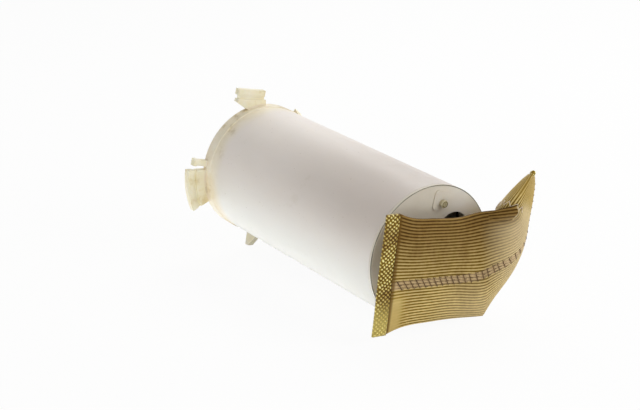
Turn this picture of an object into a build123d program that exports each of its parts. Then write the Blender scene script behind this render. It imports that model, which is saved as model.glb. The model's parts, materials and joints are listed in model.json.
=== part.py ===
from build123d import *
import os
from math import cos, radians, sin, sqrt

# In-tank fuel pump module lying on its side: a reservoir tube, its base, the pump, and the strainer sock.
# Millimetres. The origin is the centre of the open mouth, +X runs along the tube to the strainer,
# +Z is up as the module lies. Angles round the tube run from +Z towards +Y.

# Reservoir tube
module_length = 204.0
tube_radius = 46.0
tube_wall = 2.0
socket_step = 0.5
socket_depth = 15.0
collar_length = 8.5
collar_height = 0.5

# Fastening lugs round the mouth. The top lug's places are measured from the top of the tube.
lug_reach = 15.5
lug_thickness = 4.5
lug_base = 8.5
lug_bar = 4.5
lug_groove = 1.2
lug_angles = [(249.3, 278.8), (136.0, 165.0)]
top_bar_place = (-7.0, 11.4)
top_bar_length = 22.5
top_bar_tilt = -13.0
top_lug_root = [(-9.5, -1.4), (-19.5, 6.8), (-18.3, 8.8), (4.4, 4.3), (4.4, -0.8)]
top_lug_web = [(-17.8, 7.5), (-17.4, 12.0), (3.4, 7.5), (3.8, 3.0)]
finger_angle = 284.5
finger_reach = 11.5
finger_width = 4.1
finger_bulb = 5.2
fin_angle = 190.0
fin_reach = 14.0
fin_width = 4.0
fin_length = 16.0
wedge_angles = (40.6, 48.5)
wedge_height = 3.8
wedge_length = 9.0

# Base. Its pad and its fill valve are placed from the top of the tube.
base_thickness = 2.5
base_edge = 0.8
spigot_length = 12.0
spigot_wall = 1.8
spigot_clearance = 0.1
inlet_radius = 12.0
pad_height = 0.8
pad_corners = [(0.1, -16.5), (3.6, -2.9), (16.3, -6.9), (15.9, -17.2)]
pad_rounding = 3.0

# Fill valve in the base
fill_valve_offset = (8.2, -12.7)
fill_stem_radius = 2.15
fill_stem_clearance = 0.2
fill_disc_radius = 5.0
fill_disc_thickness = 1.2
fill_travel = 2.0
fill_lip = 0.5
fill_lip_clearance = 0.1
fill_lip_length = 0.9
fill_dimple_radius = 1.2

# Pump, as a can with crimped ends
pump_direction = (18.0, 13.0)
pump_gap = 2.8
pump_radius = 19.0
shell_wall = 0.8
shell_length = 70.0
pump_standoff = 18.0
crimp_reach = 1.6
seat_clearance = 0.05

# Isolators and what holds them
isolator_wall = 1.2
holder_wall = 1.4
lower_isolator_length = 12.5
sleeve_overlap = 1.0
isolator_lip = 2.5
leg_inner_radius = 17.0
window_margin = 2.5
cradle_inset = 12.0
cradle_height = 12.0
cradle_rim_wall = 2.0
cradle_arm_width = 5.0

# Pumping chamber
cover_thickness = 5.0
cover_boss = 2.0
port_offset = 6.0
port_radius = 4.2
port_bore = 3.0
port_length = 12.0
channel_depth = 2.0
channel_radius = 13.5
impeller_radius = 15.0
impeller_thickness = 3.6
impeller_gap = 0.2
chamber_gap = 0.3
housing_thickness = 5.0
vane_count = 30
vane_depth = 2.6
vane_width = 1.6
vane_rim = 0.7

# Shaft and its bearings
shaft_radius = 1.6
running_clearance = 0.03
bush_radius = 4.0
bush_length = 4.8
thrust_radius = 2.35
thrust_thickness = 0.9
thrust_gap = 0.05

# Armature
armature_gap = 1.7
core_radius = 13.4
slot_count = 8
slot_width = 4.0
slot_floor = 7.0
winding_radius = 12.4
winding_overhang = 5.0
commutator_radius = 5.5
commutator_length = 8.0
commutator_slit = 0.6
commutator_slit_depth = 0.8
end_play = 0.5

# Field magnets
magnet_inner_radius = 14.2
magnet_overhang = 4.0
magnet_arc = 140.0

# Outlet cap with brushes, terminals and valves
cap_skirt = 2.2
cap_height = 12.8
cap_radius = 16.4
guide_length = 8.0
guide_bore = 6.2
brush_width = 4.0
brush_height = 5.0
brush_length = 6.5
brush_clearance = 0.05
brush_curve = 0.6
guide_depth = 17.0
spring_wire = 0.4
spring_turns = 4
brush_spring_radius = 1.4
outlet_offset = 9.0
outlet_radius = 4.0
outlet_bore = 2.6
outlet_length = 16.0
outlet_chamfer = 0.6
chamber_radius = 4.6
valve_chamber = 8.0
outlet_plug = 4.0
valve_seat_radius = 2.4
poppet_radius = 3.4
poppet_thickness = 1.2
poppet_stem_radius = 1.0
poppet_stem_length = 7.0
check_spring_radius = 1.9
relief_ball_radius = 1.6
relief_seat_radius = 1.2
relief_chamber_radius = 1.9
relief_depth = 6.0
relief_spring_radius = 1.0
relief_plug_length = 2.0
relief_plug_bore = 0.6
terminal_width = 4.8
terminal_thickness = 0.8
terminal_length = 11.0
terminal_depth = 6.0
terminal_spacing = 11.0
terminal_offset = 8.0

# Strainer neck, its push nut, the sock and the frame inside it
neck_clearance = 0.05
neck_wall = 1.5
neck_socket = 7.0
neck_bore = 3.4
nut_radius = 8.0
nut_thickness = 0.5
nut_slots = 6
nut_slot_width = 1.2
sock_standoff = 13.0
frame_width = 46.0
frame_height = 44.0
frame_thickness = 2.4
frame_corner = 4.0
frame_bar = 3.0
frame_clearance = 0.3
frame_place = (8.0, -3.0)
band_width = 10.0
band_thickness = 3.2
right_band_width = 4.0

# The sock's top and bottom edges, from its left weld to its right one, and how far it swells there to
# the front and to the back. Lengths along X are from the base's outer face.
sock_sections = [
    ((13.0, -34.0, 39.4), (11.0, -42.3, -40.1), 1.3, 1.3),
    ((13.0, -25.6, 35.0), (11.5, -32.7, -38.0), 3.0, 3.0),
    ((13.0, -9.3, 30.8), (12.5, -13.1, -38.6), 4.5, 4.5),
    ((13.5, 10.7, 28.6), (14.0, 6.6, -40.4), 5.5, 5.5),
    ((14.5, 29.5, 27.3), (15.8, 31.5, -44.1), 8.0, 6.0),
    ((25.6, 36.4, 30.2), (12.1, 47.0, -26.1), 12.0, 10.0),
    ((32.0, 37.9, 35.3), (-5.7, 74.4, -3.1), 10.5, 11.5),
    ((37.2, 41.0, 45.5), (-10.7, 86.2, 16.7), 8.0, 8.5),
    ((47.0, 39.8, 59.4), (-7.1, 88.6, 32.4), 1.3, 1.3),
]

# Places worked out from the sizes above
bore_radius = tube_radius - tube_wall
face_x = module_length
plate_x = face_x - base_thickness
pump_distance = bore_radius - pump_radius - pump_gap
pump_place = tuple(Vector(pump_direction).normalized() * pump_distance)[:2]
pump_y, pump_z = pump_place
fill_valve_place = (fill_valve_offset[0], tube_radius + fill_valve_offset[1])
pump_bottom_x = face_x - pump_standoff
pump_top_x = pump_bottom_x - shell_length
cradle_x = pump_top_x + cradle_inset
shell_bore = pump_radius - shell_wall
inner_fit_radius = shell_bore - seat_clearance
crimp_radius = shell_bore - crimp_reach
holder_radius = pump_radius + isolator_wall + holder_wall
cover_x = pump_bottom_x - shell_wall - cover_thickness
impeller_x = cover_x - impeller_gap - impeller_thickness
housing_x = impeller_x - impeller_gap - housing_thickness
thrust_x = cover_x + channel_depth - thrust_thickness
shaft_end_x = thrust_x - thrust_gap
cap_top_x = pump_top_x + shell_wall - cap_height
cap_face_x = pump_top_x + shell_wall + cap_skirt
commutator_x = cap_face_x + end_play
winding_x = commutator_x + commutator_length
core_x = winding_x + winding_overhang
core_length = housing_x - armature_gap - winding_overhang - core_x
magnet_x = core_x - magnet_overhang
magnet_length = core_length + 2 * magnet_overhang
upper_bush_x = cap_face_x - bush_length - end_play
brush_x = commutator_x + commutator_length / 2
brush_tip = commutator_radius + brush_clearance
brush_tail = brush_tip + brush_length
seat_x = cap_top_x + outlet_plug + valve_chamber
port_z = pump_z - port_offset
port_end_x = pump_bottom_x + cover_boss - shell_wall + port_length
neck_radius = port_radius + neck_clearance + neck_wall
neck_x = port_end_x - neck_socket
sock_x = face_x + sock_standoff
outlet_place = (pump_y - outlet_offset, pump_z)
relief_place = (pump_y + outlet_offset, pump_z)


def pump_plane(offset_y=0.0, offset_z=0.0):
    """A plane along the pump, with local x along +X and local y along +Z from the given axis."""
    return Plane(origin=(0, pump_y + offset_y, pump_z + offset_z), x_dir=(1, 0, 0), z_dir=(0, -1, 0))


def pump_axis(offset_y=0.0, offset_z=0.0):
    return Axis((0, pump_y + offset_y, pump_z + offset_z), (1, 0, 0))


def radial_plane(angle):
    """A plane through the tube's axis, with local x along +X and local y outwards at the angle."""
    turn = radians(angle)
    return Plane(origin=(0, 0, 0), x_dir=(1, 0, 0), z_dir=(0, -cos(turn), sin(turn)))


def rim_plane(x):
    """A plane across the tube, with its origin on top of the tube, local x along +Y and local y up."""
    return Plane(origin=(x, 0, tube_radius), x_dir=(0, 1, 0), z_dir=(1, 0, 0))


def turned(points, plane, axis, arc=360.0):
    """A solid turned about the axis from an outline of (x, radius) points."""
    with BuildPart() as piece:
        with BuildSketch(plane):
            with BuildLine():
                Polyline(*points, close=True)
            make_face()
        revolve(axis=axis, revolution_arc=arc)
    return piece.part


def ring(start, end, outer, inner, place):
    """A ring along X about a place given as (Y, Z)."""
    with BuildPart() as piece:
        with BuildSketch(Plane.YZ.offset(start)):
            with Locations(place):
                Circle(outer)
                if inner > 0:
                    Circle(inner, mode=Mode.SUBTRACT)
        extrude(amount=end - start)
    return piece.part


def coil(start, length, radius, axis):
    """A coil spring of square wire that runs from the start point along the axis."""
    with BuildPart() as piece:
        with BuildLine():
            path = Helix(pitch=length / spring_turns, height=length, radius=radius, center=start, direction=axis)
        with BuildSketch(Plane(origin=path @ 0, z_dir=path % 0)):
            Rectangle(spring_wire, spring_wire)
        sweep(path=path, is_frenet=True)
    return piece.part


def save(piece, name):
    piece.label = name
    export_step(piece, "parts/" + name + ".step")


os.makedirs("parts", exist_ok=True)


# Reservoir tube with its collar, lugs, finger, fin and wedge

tube_outline = [
    (0, bore_radius + socket_step),
    (0, tube_radius + collar_height),
    (collar_length, tube_radius + collar_height),
    (collar_length + collar_height, tube_radius),
    (plate_x - base_edge / 2, tube_radius),
    (plate_x, tube_radius - base_edge / 2),
    (plate_x, bore_radius),
    (socket_depth, bore_radius),
    (socket_depth, bore_radius + socket_step),
]
lug_root = tube_radius - tube_wall / 2
lug_tip = tube_radius + lug_reach
lug_neck_top = lug_tip - lug_bar
lug_neck_foot = tube_radius + lug_base
lug_outline = [
    (0, lug_root),
    (lug_thickness, lug_root),
    (lug_thickness, lug_neck_foot),
    (lug_thickness - lug_groove, lug_neck_foot),
    (lug_thickness - lug_groove, lug_neck_top),
    (lug_thickness, lug_neck_top),
    (lug_thickness, lug_tip),
    (0, lug_tip),
    (0, lug_neck_top),
    (lug_groove, lug_neck_top),
    (lug_groove, lug_neck_foot),
    (0, lug_neck_foot),
]
wedge_outline = [
    (0, lug_root),
    (0, tube_radius + wedge_height),
    (wedge_length, tube_radius),
    (wedge_length, lug_root),
]
fin_outline = [
    (0, lug_root),
    (0, tube_radius + fin_reach),
    (fin_width, tube_radius + fin_reach),
    (fin_length, tube_radius),
    (fin_length, lug_root),
]

with BuildPart() as reservoir_tube:
    add(turned(tube_outline, Plane.XZ, Axis.X))
    for inset, outline in ((0, top_lug_root), (lug_groove, top_lug_web)):
        with BuildSketch(rim_plane(inset)):
            with BuildLine():
                Polyline(*outline, close=True)
            make_face()
        extrude(amount=lug_thickness - 2 * inset)
    with BuildSketch(rim_plane(0)):
        with Locations(Location((*top_bar_place, 0), (0, 0, top_bar_tilt))):
            Rectangle(top_bar_length, lug_bar)
    extrude(amount=lug_thickness)
    for first, last in lug_angles:
        add(turned(lug_outline, radial_plane(last), Axis.X, last - first))
    add(turned(wedge_outline, radial_plane(wedge_angles[1]), Axis.X, wedge_angles[1] - wedge_angles[0]))
    with BuildSketch(radial_plane(fin_angle)):
        with BuildLine():
            Polyline(*fin_outline, close=True)
        make_face()
    extrude(amount=fin_width / 2, both=True)
    with BuildSketch(radial_plane(finger_angle)):
        with Locations((lug_thickness / 2, (lug_root + tube_radius + finger_reach) / 2)):
            Rectangle(lug_thickness, tube_radius + finger_reach - lug_root)
    extrude(amount=finger_width / 2, both=True)
    with BuildSketch(radial_plane(finger_angle)):
        with Locations((lug_thickness / 2, tube_radius + finger_reach - finger_bulb / 4)):
            Rectangle(lug_thickness, finger_bulb / 2)
    extrude(amount=finger_bulb / 2, both=True)
save(reservoir_tube.part, "reservoir_tube")


# Base: a plate that closes the tube, a spigot inside it, and the pump's seat with a window for the valve

spigot_radius = bore_radius - spigot_clearance
leg_x = pump_bottom_x + isolator_lip
seat_bore = pump_radius + isolator_wall
base_outline = [
    (plate_x, 0),
    (plate_x, spigot_radius - spigot_wall),
    (plate_x - spigot_length, spigot_radius - spigot_wall),
    (plate_x - spigot_length, spigot_radius),
    (plate_x, spigot_radius),
    (plate_x, tube_radius - base_edge / 2),
    (plate_x + base_edge / 2, tube_radius),
    (face_x - base_edge, tube_radius),
    (face_x, tube_radius - base_edge),
    (face_x, 0),
]
seat_outline = [
    (plate_x, leg_inner_radius),
    (leg_x, leg_inner_radius),
    (leg_x, seat_bore),
    (leg_x - lower_isolator_length, seat_bore),
    (leg_x - lower_isolator_length, holder_radius),
    (plate_x, holder_radius),
]

with BuildPart() as base_cap:
    add(turned(base_outline, Plane.XZ, Axis.X))
    add(turned(seat_outline, pump_plane(), pump_axis()))
    with BuildSketch(rim_plane(face_x)) as pad:
        with BuildLine():
            Polyline(*pad_corners, close=True)
        make_face()
        fillet(pad.vertices(), pad_rounding)
    extrude(amount=pad_height)
    with BuildSketch(Plane.YZ.offset(plate_x)):
        with Locations(pump_place):
            Circle(inlet_radius)
        with Locations(fill_valve_place):
            Circle(fill_stem_radius + fill_stem_clearance)
    extrude(amount=base_thickness + pad_height, mode=Mode.SUBTRACT)
    with BuildSketch(Plane.YZ.offset(leg_x + window_margin)):
        with Locations(fill_valve_place):
            Circle(fill_disc_radius + window_margin / 2)
    extrude(amount=plate_x - leg_x - window_margin, mode=Mode.SUBTRACT)
save(base_cap.part, "base_cap")


# Fill valve: a disc inside the base, on a stem that a lip outside keeps in

disc_x = plate_x - fill_disc_thickness
lip_x = face_x + pad_height + fill_travel + fill_lip_clearance
fill_outline = [
    (disc_x, 0),
    (disc_x, fill_disc_radius),
    (plate_x, fill_disc_radius),
    (plate_x, fill_stem_radius),
    (lip_x, fill_stem_radius),
    (lip_x, fill_stem_radius + fill_lip),
    (lip_x + fill_lip_length, fill_stem_radius),
    (lip_x + fill_lip_length, fill_dimple_radius),
    (lip_x, fill_dimple_radius),
    (lip_x, 0),
]
fill_y, fill_z = fill_valve_place
fill_plane = Plane(origin=(0, fill_y, fill_z), x_dir=(1, 0, 0), z_dir=(0, -1, 0))
with BuildPart() as fill_valve:
    add(turned(fill_outline, fill_plane, Axis((0, fill_y, fill_z), (1, 0, 0))))
save(fill_valve.part, "fill_valve")


# Rubber isolators: a cup under the pump and a sleeve round its upper part

isolator_bore = pump_radius + seat_clearance
isolator_radius = seat_bore - seat_clearance
lower_isolator_outline = [
    (leg_x - lower_isolator_length, isolator_bore),
    (pump_bottom_x, isolator_bore),
    (pump_bottom_x, leg_inner_radius),
    (leg_x, leg_inner_radius),
    (leg_x, isolator_radius),
    (leg_x - lower_isolator_length, isolator_radius),
]
with BuildPart() as lower_isolator:
    add(turned(lower_isolator_outline, pump_plane(), pump_axis()))
save(lower_isolator.part, "lower_isolator")

with BuildPart() as upper_isolator:
    sleeve_end_x = cradle_x + cradle_height + sleeve_overlap
    add(ring(cradle_x - sleeve_overlap, sleeve_end_x, isolator_radius, isolator_bore, pump_place))
save(upper_isolator.part, "upper_isolator")


# Cradle: a ring round the sleeve, two arms and a rim against the tube

across = (pump_z / pump_distance, -pump_y / pump_distance)
arm_reach = sqrt((spigot_radius - cradle_rim_wall) ** 2 - pump_distance**2)
with BuildPart() as pump_cradle:
    add(ring(cradle_x, cradle_x + cradle_height, spigot_radius, spigot_radius - cradle_rim_wall, (0, 0)))
    for side in (1, -1):
        end = (pump_y + side * across[0] * arm_reach, pump_z + side * across[1] * arm_reach)
        with BuildSketch(Plane.YZ.offset(cradle_x)):
            with BuildLine():
                arm = Line(pump_place, end)
            trace(line_width=cradle_arm_width)
        extrude(amount=cradle_height)
    with BuildSketch(Plane.YZ.offset(cradle_x)):
        with Locations(pump_place):
            Circle(holder_radius)
    extrude(amount=cradle_height)
    with BuildSketch(Plane.YZ.offset(cradle_x)):
        with Locations(pump_place):
            Circle(seat_bore)
    extrude(amount=cradle_height, mode=Mode.SUBTRACT)
save(pump_cradle.part, "pump_cradle")


# Pump shell: a thin can with both ends crimped inwards

shell_outline = [
    (pump_top_x, crimp_radius),
    (pump_top_x, pump_radius),
    (pump_bottom_x, pump_radius),
    (pump_bottom_x, crimp_radius),
    (pump_bottom_x - shell_wall, crimp_radius),
    (pump_bottom_x - shell_wall, shell_bore),
    (pump_top_x + shell_wall, shell_bore),
    (pump_top_x + shell_wall, crimp_radius),
]
with BuildPart() as pump_shell:
    add(turned(shell_outline, pump_plane(), pump_axis()))
save(pump_shell.part, "pump_shell")


# Inlet cover with its port, feed channel and thrust pocket

cover_top_x = cover_x + cover_thickness
boss_radius = crimp_radius - seat_clearance
boss_x = cover_top_x + cover_boss
with BuildPart() as inlet_cover:
    add(ring(cover_x, cover_top_x, inner_fit_radius, 0, pump_place))
    add(ring(cover_top_x, boss_x, boss_radius, 0, pump_place))
    add(ring(boss_x, port_end_x, port_radius, 0, (pump_y, port_z)))
    with BuildSketch(Plane.YZ.offset(cover_x)):
        with Locations((pump_y, port_z)):
            Circle(port_bore)
    extrude(amount=port_end_x - cover_x, mode=Mode.SUBTRACT)
    with BuildSketch(Plane.YZ.offset(cover_x)):
        with Locations((pump_y, pump_z - (port_offset + channel_radius) / 2)):
            Rectangle(2 * port_bore, channel_radius - port_offset)
        with Locations((pump_y, pump_z - channel_radius)):
            Circle(port_bore)
        with Locations(pump_place):
            Circle(thrust_radius)
    extrude(amount=channel_depth, mode=Mode.SUBTRACT)
save(inlet_cover.part, "inlet_cover")


# Impeller: a disc with a row of vane pockets through it inside a thin rim

with BuildPart() as impeller:
    add(ring(impeller_x, impeller_x + impeller_thickness, impeller_radius, shaft_radius, pump_place))
    with BuildSketch(Plane.YZ.offset(impeller_x)):
        with Locations(pump_place):
            with PolarLocations(impeller_radius - vane_rim - vane_depth / 2, vane_count):
                Rectangle(vane_depth, vane_width)
    extrude(amount=impeller_thickness, mode=Mode.SUBTRACT)
save(impeller.part, "impeller")


# Impeller housing: a plate with the bearing's seat and the delivery port, and a rim round the impeller

with BuildPart() as impeller_housing:
    add(ring(housing_x, housing_x + housing_thickness, inner_fit_radius, bush_radius, pump_place))
    add(ring(housing_x + housing_thickness, cover_x, inner_fit_radius, impeller_radius + chamber_gap, pump_place))
    with BuildSketch(Plane.YZ.offset(housing_x)):
        with Locations((pump_y, pump_z + impeller_radius - vane_rim - vane_depth / 2)):
            Circle(vane_depth / 2)
    extrude(amount=housing_thickness, mode=Mode.SUBTRACT)
save(impeller_housing.part, "impeller_housing")


# Bearing bushes, thrust pad and shaft

with BuildPart() as lower_bush:
    add(ring(housing_x, housing_x + bush_length, bush_radius, shaft_radius + running_clearance, pump_place))
save(lower_bush.part, "lower_bush")

with BuildPart() as upper_bush:
    add(ring(upper_bush_x, upper_bush_x + bush_length, bush_radius, shaft_radius + running_clearance, pump_place))
save(upper_bush.part, "upper_bush")

with BuildPart() as thrust_pad:
    add(ring(thrust_x, thrust_x + thrust_thickness, thrust_radius, 0, pump_place))
save(thrust_pad.part, "thrust_pad")

with BuildPart() as rotor_shaft:
    add(ring(upper_bush_x + end_play, shaft_end_x, shaft_radius, 0, pump_place))
save(rotor_shaft.part, "rotor_shaft")


# Armature: a slotted core, windings that fill its slots and bulge at both ends, and the commutator

with BuildPart() as armature_core:
    add(ring(core_x, core_x + core_length, core_radius, shaft_radius, pump_place))
    with BuildSketch(Plane.YZ.offset(core_x)):
        with Locations(pump_place):
            with PolarLocations((slot_floor + winding_radius) / 2, slot_count):
                Rectangle(winding_radius - slot_floor, slot_width)
            with PolarLocations((winding_radius + core_radius) / 2, slot_count):
                Rectangle(2 * (core_radius - winding_radius), slot_width / 2)
    extrude(amount=core_length, mode=Mode.SUBTRACT)
save(armature_core.part, "armature_core")

with BuildPart() as armature_windings:
    with BuildSketch(Plane.YZ.offset(core_x)):
        with Locations(pump_place):
            with PolarLocations((slot_floor + winding_radius) / 2, slot_count):
                Rectangle(winding_radius - slot_floor, slot_width)
    extrude(amount=core_length)
    add(ring(winding_x, core_x, winding_radius, shaft_radius, pump_place))
    add(ring(core_x + core_length, core_x + core_length + winding_overhang, winding_radius, shaft_radius, pump_place))
save(armature_windings.part, "armature_windings")

with BuildPart() as commutator:
    add(ring(commutator_x, winding_x, commutator_radius, shaft_radius, pump_place))
    with BuildSketch(Plane.YZ.offset(commutator_x)):
        with Locations(pump_place):
            with PolarLocations(commutator_radius, slot_count, start_angle=180 / slot_count):
                Rectangle(2 * commutator_slit_depth, commutator_slit)
    extrude(amount=commutator_length, mode=Mode.SUBTRACT)
save(commutator.part, "commutator")


# Field magnets: two arcs against the shell

magnet_outline = [
    (magnet_x, magnet_inner_radius),
    (magnet_x, inner_fit_radius),
    (magnet_x + magnet_length, inner_fit_radius),
    (magnet_x + magnet_length, magnet_inner_radius),
]
with BuildPart() as field_magnets:
    for turn in (0, 180):
        add(turned(magnet_outline, pump_plane(), pump_axis(), magnet_arc).rotate(pump_axis(), turn - magnet_arc / 2))
save(field_magnets.part, "field_magnets")


# Outlet cap: skirt in the shell, body above it, brush guides below, and the two valve chambers

with BuildPart() as outlet_cap:
    add(ring(pump_top_x + shell_wall, cap_face_x, inner_fit_radius, 0, pump_place))
    add(ring(cap_top_x, pump_top_x + shell_wall, cap_radius, 0, pump_place))
    add(ring(cap_face_x, cap_face_x + guide_length, inner_fit_radius, guide_bore, pump_place))
    with BuildSketch(Plane.YZ.offset(upper_bush_x)):
        with Locations(pump_place):
            Circle(bush_radius)
    extrude(amount=cap_face_x - upper_bush_x, mode=Mode.SUBTRACT)
    with BuildSketch(Plane.YZ.offset(cap_top_x)):
        with Locations(outlet_place):
            Circle(chamber_radius)
    extrude(amount=seat_x - cap_top_x, mode=Mode.SUBTRACT)
    with BuildSketch(Plane.YZ.offset(cap_top_x)):
        with Locations(outlet_place):
            Circle(valve_seat_radius)
    extrude(amount=cap_face_x + guide_length - cap_top_x, mode=Mode.SUBTRACT)
    with BuildSketch(Plane.YZ.offset(cap_top_x)):
        with Locations(relief_place):
            Circle(relief_chamber_radius)
    extrude(amount=relief_depth + relief_plug_length, mode=Mode.SUBTRACT)
    with BuildSketch(Plane.YZ.offset(cap_top_x)):
        with Locations(relief_place):
            Circle(relief_seat_radius)
    extrude(amount=cap_face_x + guide_length - cap_top_x, mode=Mode.SUBTRACT)
    with BuildSketch(Plane.YZ.offset(cap_top_x)):
        with Locations((pump_y, pump_z - terminal_offset)):
            with GridLocations(terminal_spacing, 1, 2, 1):
                Rectangle(terminal_width, terminal_thickness)
    extrude(amount=terminal_depth, mode=Mode.SUBTRACT)
    with BuildSketch(Plane.XY.offset(pump_z)):
        with Locations((brush_x, pump_y)):
            Rectangle(brush_height + 2 * brush_clearance, brush_width + 2 * brush_clearance)
    extrude(amount=guide_depth, both=True, mode=Mode.SUBTRACT)
save(outlet_cap.part, "outlet_cap")


# Outlet nipple: a plug in the cap's chamber and the spigot that the hose goes on

nipple_x = cap_top_x - outlet_length
plug_end_x = cap_top_x + outlet_plug
nipple_outline = [
    (nipple_x, outlet_bore),
    (nipple_x, outlet_radius - outlet_chamfer),
    (nipple_x + outlet_chamfer, outlet_radius),
    (cap_top_x, outlet_radius),
    (cap_top_x, chamber_radius - seat_clearance),
    (plug_end_x, chamber_radius - seat_clearance),
    (plug_end_x, outlet_bore),
]
with BuildPart() as outlet_nipple:
    add(turned(nipple_outline, pump_plane(-outlet_offset), pump_axis(-outlet_offset)))
save(outlet_nipple.part, "outlet_nipple")


# Outlet check valve: a poppet held on its seat by a spring

poppet_x = seat_x - poppet_thickness
with BuildPart() as check_poppet:
    add(ring(poppet_x, seat_x, poppet_radius, 0, outlet_place))
    add(ring(poppet_x - poppet_stem_length, poppet_x, poppet_stem_radius, 0, outlet_place))
save(check_poppet.part, "check_poppet")

check_spring_start = (plug_end_x + spring_wire, *outlet_place)
check_spring_length = poppet_x - plug_end_x - 2 * spring_wire
with BuildPart() as check_spring:
    add(coil(check_spring_start, check_spring_length, check_spring_radius, (1, 0, 0)))
save(check_spring.part, "check_spring")


# Relief valve: a ball on its seat, its spring, and the plug that closes the chamber

relief_spring_x = cap_top_x + relief_plug_length
relief_seat_x = relief_spring_x + relief_depth
ball_x = relief_seat_x - sqrt(relief_ball_radius**2 - relief_seat_radius**2) - seat_clearance
with BuildPart() as relief_ball:
    with Locations((ball_x, *relief_place)):
        Sphere(relief_ball_radius)
save(relief_ball.part, "relief_ball")

relief_spring_start = (relief_spring_x + spring_wire, *relief_place)
relief_spring_length = ball_x - relief_ball_radius - relief_spring_x - 2 * spring_wire
with BuildPart() as relief_spring:
    add(coil(relief_spring_start, relief_spring_length, relief_spring_radius, (1, 0, 0)))
save(relief_spring.part, "relief_spring")

with BuildPart() as relief_plug:
    add(ring(cap_top_x, relief_spring_x, relief_chamber_radius, relief_plug_bore, relief_place))
save(relief_plug.part, "relief_plug")


# Brushes, each curved to the commutator, and the springs behind them

brush_root = brush_tip - brush_curve
for side, mark in ((1, "a"), (-1, "b")):
    with BuildPart() as brush:
        with Locations((brush_x, pump_y, pump_z + side * (brush_root + brush_tail) / 2)):
            Box(brush_height, brush_width, brush_tail - brush_root)
        add(ring(cap_face_x, winding_x, brush_tip, 0, pump_place), mode=Mode.SUBTRACT)
    save(brush.part, "brush_" + mark)
    spring_start = (brush_x, pump_y, pump_z + side * (brush_tail + spring_wire))
    with BuildPart() as brush_spring:
        add(coil(spring_start, guide_depth - brush_tail - 2 * spring_wire, brush_spring_radius, (0, 0, side)))
    save(brush_spring.part, "brush_spring_" + mark)


# Terminal blades in the cap

with BuildPart() as terminal_blades:
    with BuildSketch(Plane.YZ.offset(cap_top_x - terminal_length)):
        with Locations((pump_y, pump_z - terminal_offset)):
            with GridLocations(terminal_spacing, 1, 2, 1):
                Rectangle(terminal_width, terminal_thickness)
    extrude(amount=terminal_length + terminal_depth)
save(terminal_blades.part, "terminal_blades")


# Strainer: frame inside the sock, neck on the pump's port, and the push nut that holds the neck

frame_x = sock_x - frame_thickness / 2
with BuildPart() as sock_frame:
    with BuildSketch(Plane.YZ.offset(frame_x)):
        with Locations(frame_place):
            RectangleRounded(frame_width, frame_height, frame_corner)
            RectangleRounded(frame_width - 2 * frame_bar, frame_height - 2 * frame_bar,
                             frame_corner / 2, mode=Mode.SUBTRACT)
        with Locations((frame_place[0], port_z)):
            Rectangle(frame_width - frame_bar, frame_bar)
        with Locations((pump_y, frame_place[1])):
            Rectangle(frame_bar, frame_height - frame_bar)
        with Locations((pump_y, port_z)):
            Circle(neck_radius)
            Circle(neck_bore, mode=Mode.SUBTRACT)
    extrude(amount=frame_thickness)
save(sock_frame.part, "sock_frame")

neck_outline = [
    (neck_x, port_radius + neck_clearance),
    (neck_x, neck_radius),
    (frame_x, neck_radius),
    (frame_x, neck_bore),
    (port_end_x + neck_clearance, neck_bore),
    (port_end_x + neck_clearance, port_radius + neck_clearance),
]
with BuildPart() as strainer_neck:
    add(turned(neck_outline, pump_plane(0, -port_offset), pump_axis(0, -port_offset)))
save(strainer_neck.part, "strainer_neck")

with BuildPart() as push_nut:
    with BuildSketch(Plane.YZ.offset(neck_x - nut_thickness)):
        with Locations((pump_y, port_z)):
            Circle(nut_radius)
            Circle(port_radius, mode=Mode.SUBTRACT)
            with PolarLocations(port_radius, nut_slots):
                Rectangle(nut_radius - port_radius, nut_slot_width, mode=Mode.SUBTRACT)
    extrude(amount=nut_thickness)
save(push_nut.part, "push_nut")


# Sock: a flat mesh pad that twists to its right weld, with a pocket for the frame and a woven band at each end

def sock_plane(index):
    """The plane across the sock at a section, with local x from its bottom edge to its top edge."""
    tops = [Vector(top) for top, bottom, front, back in sock_sections]
    bottoms = [Vector(bottom) for top, bottom, front, back in sock_sections]
    before = max(index - 1, 0)
    after = min(index + 1, len(sock_sections) - 1)
    along = tops[after] + bottoms[after] - tops[before] - bottoms[before]
    across_sock = (tops[index] - bottoms[index]).normalized()
    along -= across_sock * along.dot(across_sock)
    middle = (tops[index] + bottoms[index]) / 2 + Vector(face_x, 0, 0)
    return Plane(origin=middle, x_dir=across_sock, z_dir=along)


def sock_height(index):
    top, bottom, front, back = sock_sections[index]
    return (Vector(top) - Vector(bottom)).length


with BuildPart() as strainer_sock:
    for index, (top, bottom, front, back) in enumerate(sock_sections):
        half = sock_height(index) / 2
        with BuildSketch(sock_plane(index)):
            with BuildLine():
                EllipticalCenterArc((0, 0), half, front, 0, arc_size=180)
                EllipticalCenterArc((0, 0), half, back, 180, arc_size=180)
            make_face()
    loft()
    with BuildSketch(Plane.YZ.offset(frame_x - frame_clearance)):
        with Locations(frame_place):
            RectangleRounded(frame_width + 2 * frame_clearance, frame_height + 2 * frame_clearance, frame_corner)
    extrude(amount=frame_thickness + 2 * frame_clearance, mode=Mode.SUBTRACT)
    with BuildSketch(Plane.YZ.offset(face_x)):
        with Locations((pump_y, port_z)):
            Circle(neck_radius)
    extrude(amount=frame_x - face_x, mode=Mode.SUBTRACT)
save(strainer_sock.part, "strainer_sock")

for name, index, width in (("left_band", 0, -band_width), ("right_band", len(sock_sections) - 1, right_band_width)):
    with BuildPart() as band:
        with BuildSketch(sock_plane(index)):
            RectangleRounded(sock_height(index), band_thickness, band_thickness / 3)
        extrude(amount=width)
    save(band.part, name)
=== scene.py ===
import json
from math import cos, pi, sin

import bpy
import numpy as np
from mathutils import Matrix, Vector


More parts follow.
